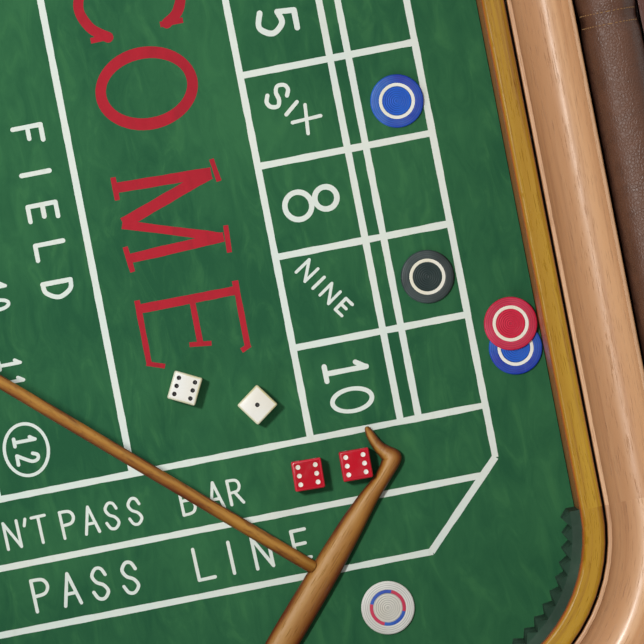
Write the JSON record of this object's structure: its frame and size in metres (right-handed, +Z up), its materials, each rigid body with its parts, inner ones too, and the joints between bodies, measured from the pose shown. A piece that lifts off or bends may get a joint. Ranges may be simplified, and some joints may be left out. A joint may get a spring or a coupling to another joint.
{
  "type": "craps table",
  "caption": "Craps table with a round-cornered felted tub, chip-rack rail with arm pads, drink shelf, turned legs, drop box, bank tray, dice, chips and dice stick.",
  "frame": {"origin": "on the floor, under the middle of the table", "axes": "+X along the table to the end where the dice lie, +Y to the boxman's side, +Z up"},
  "size_m": [1.83, 0.824, 0.9505],
  "materials": {
    "felt": "matt woven green felt",
    "underlay": "closed-cell foam rubber",
    "bed_ply": "bare birch plywood",
    "golden_wood": "satin golden oak",
    "rack_wood": "satin pink-brown hardwood",
    "dark_wood": "satin red-brown mahogany",
    "tray_wood": "satin dark hardwood",
    "stick_wood": "waxed rattan and ash",
    "bumper_rubber": "dark green pyramid rubber",
    "arm_leather": "padded dark brown leather",
    "mirror": "silvered glass",
    "brass": "polished brass",
    "sheet_steel": "black powder coat",
    "foot_steel": "zinc plated steel",
    "paddle_acrylic": "polished black acrylic",
    "bank_chips": "moulded clay composite in several colours",
    "white_die": "ivory resin with black pips",
    "red_die": "polished red resin with white pips",
    "blue_chip": "moulded clay composite",
    "black_chip": "moulded clay composite",
    "red_chip": "moulded clay composite",
    "white_chip": "moulded clay composite"
  },
  "bodies": {
    "table": {"arm_pad_boxman_side": "arm_leather", "arm_pad_corners": "arm_leather", "arm_pad_ends": "arm_leather", "arm_pad_player_side": "arm_leather", "bed_bearers": "bed_ply", "bed_board": "bed_ply", "bed_underlay": "underlay", "bumper_corners": "bumper_rubber", "bumper_ends": "bumper_rubber", "bumper_player_side": "bumper_rubber", "chip_rack_boxman_side": "rack_wood", "chip_rack_corners": "rack_wood", "chip_rack_ends": "rack_wood", "chip_rack_player_side": "rack_wood", "drink_shelf_corners": "dark_wood", "drink_shelf_ends": "dark_wood", "drink_shelf_player_side": "dark_wood", "drop_box_runners": "sheet_steel", "layout_felt": "felt", "leg_boxman_left": "dark_wood", "leg_boxman_right": "dark_wood", "leg_player_left": "dark_wood", "leg_player_right": "dark_wood", "mirror_frame": "dark_wood", "mirror_glass": "mirror", "money_chute": "sheet_steel", "money_slot_plate": "brass", "rail_base_corners": "dark_wood", "rail_base_sides": "dark_wood", "rail_brackets": "dark_wood", "rail_fascia_corners": "dark_wood", "rail_fascia_sides": "dark_wood", "shelf_brackets": "dark_wood", "stretcher_ends": "dark_wood", "stretcher_long": "dark_wood", "wall_boxman_side": "golden_wood", "wall_corners": "golden_wood", "wall_left_end": "golden_wood", "wall_player_side": "golden_wood", "wall_right_end": "golden_wood"},
    "bank_tray_body": {"bank_tray": "tray_wood", "bank_chips": "bank_chips"},
    "money_paddle_body": {"money_paddle": "paddle_acrylic"},
    "drop_box": {"drop_box_shell": "sheet_steel"},
    "drop_box_door_body": {"drop_box_door": "sheet_steel"},
    "dice_stick": {"stick_head": "stick_wood", "stick_handle": "stick_wood"},
    "chip_black_nine_body": {"chip_black_nine": "black_chip"},
    "chip_blue_six_body": {"chip_blue_six": "blue_chip"},
    "chip_blue_wall_body": {"chip_blue_wall": "blue_chip"},
    "chip_red_wall_body": {"chip_red_wall": "red_chip"},
    "chip_white_line_body": {"chip_white_line": "white_chip"},
    "die_red_left_body": {"die_red_left": "red_die"},
    "die_red_right_body": {"die_red_right": "red_die"},
    "die_white_one_body": {"die_white_one": "white_die"},
    "die_white_six_body": {"die_white_six": "white_die"},
    "foot_boxman_left_body": {"foot_boxman_left": "foot_steel"},
    "foot_boxman_right_body": {"foot_boxman_right": "foot_steel"},
    "foot_player_left_body": {"foot_player_left": "foot_steel"},
    "foot_player_right_body": {"foot_player_right": "foot_steel"}
  },
  "joints": [
    {"name": "foot_boxman_left_screw", "type": "slide", "parent": "table", "child": "foot_boxman_left_body", "axis": [0, 0, -1], "range_m": [0, 0.018]},
    {"name": "foot_boxman_right_screw", "type": "slide", "parent": "table", "child": "foot_boxman_right_body", "axis": [0, 0, -1], "range_m": [0, 0.018]},
    {"name": "foot_player_left_screw", "type": "slide", "parent": "table", "child": "foot_player_left_body", "axis": [0, 0, -1], "range_m": [0, 0.018]},
    {"name": "foot_player_right_screw", "type": "slide", "parent": "table", "child": "foot_player_right_body", "axis": [0, 0, -1], "range_m": [0, 0.018]},
    {"name": "money_paddle_lift", "type": "slide", "parent": "table", "child": "money_paddle_body", "axis": [0, 0, 1], "range_m": [0, 0.14]},
    {"name": "drop_box_slide", "type": "slide", "parent": "table", "child": "drop_box", "axis": [0, 1, 0], "range_m": [0, 0.28]},
    {"name": "drop_box_door_hinge", "type": "hinge", "parent": "drop_box", "child": "drop_box_door_body", "pos_m": [-0.072, 0.286, 0.495], "axis": [0, 0, 1], "range_deg": [0, 110]},
    {"name": "bank_tray_lift", "type": "slide", "parent": "table", "child": "bank_tray_body", "axis": [0, 0, 1], "range_m": [0, 0.2]},
    {"name": "dice_stick_lift", "type": "slide", "parent": "table", "child": "dice_stick", "axis": [0, 0, 1], "range_m": [0, 0.2]},
    {"name": "chip_black_nine_lift", "type": "slide", "parent": "table", "child": "chip_black_nine_body", "axis": [0, 0, 1], "range_m": [0, 0.2]},
    {"name": "chip_blue_six_lift", "type": "slide", "parent": "table", "child": "chip_blue_six_body", "axis": [0, 0, 1], "range_m": [0, 0.2]},
    {"name": "chip_blue_wall_lift", "type": "slide", "parent": "table", "child": "chip_blue_wall_body", "axis": [0, 0, 1], "range_m": [0, 0.2]},
    {"name": "chip_white_line_lift", "type": "slide", "parent": "table", "child": "chip_white_line_body", "axis": [0, 0, 1], "range_m": [0, 0.2]},
    {"name": "die_red_left_lift", "type": "slide", "parent": "table", "child": "die_red_left_body", "axis": [0, 0, 1], "range_m": [0, 0.2]},
    {"name": "die_red_right_lift", "type": "slide", "parent": "table", "child": "die_red_right_body", "axis": [0, 0, 1], "range_m": [0, 0.2]},
    {"name": "die_white_one_lift", "type": "slide", "parent": "table", "child": "die_white_one_body", "axis": [0, 0, 1], "range_m": [0, 0.2]},
    {"name": "die_white_six_lift", "type": "slide", "parent": "table", "child": "die_white_six_body", "axis": [0, 0, 1], "range_m": [0, 0.2]},
    {"name": "chip_red_wall_lift", "type": "slide", "parent": "chip_blue_wall_body", "child": "chip_red_wall_body", "axis": [0, 0, 1], "range_m": [0, 0.2]}
  ]
}
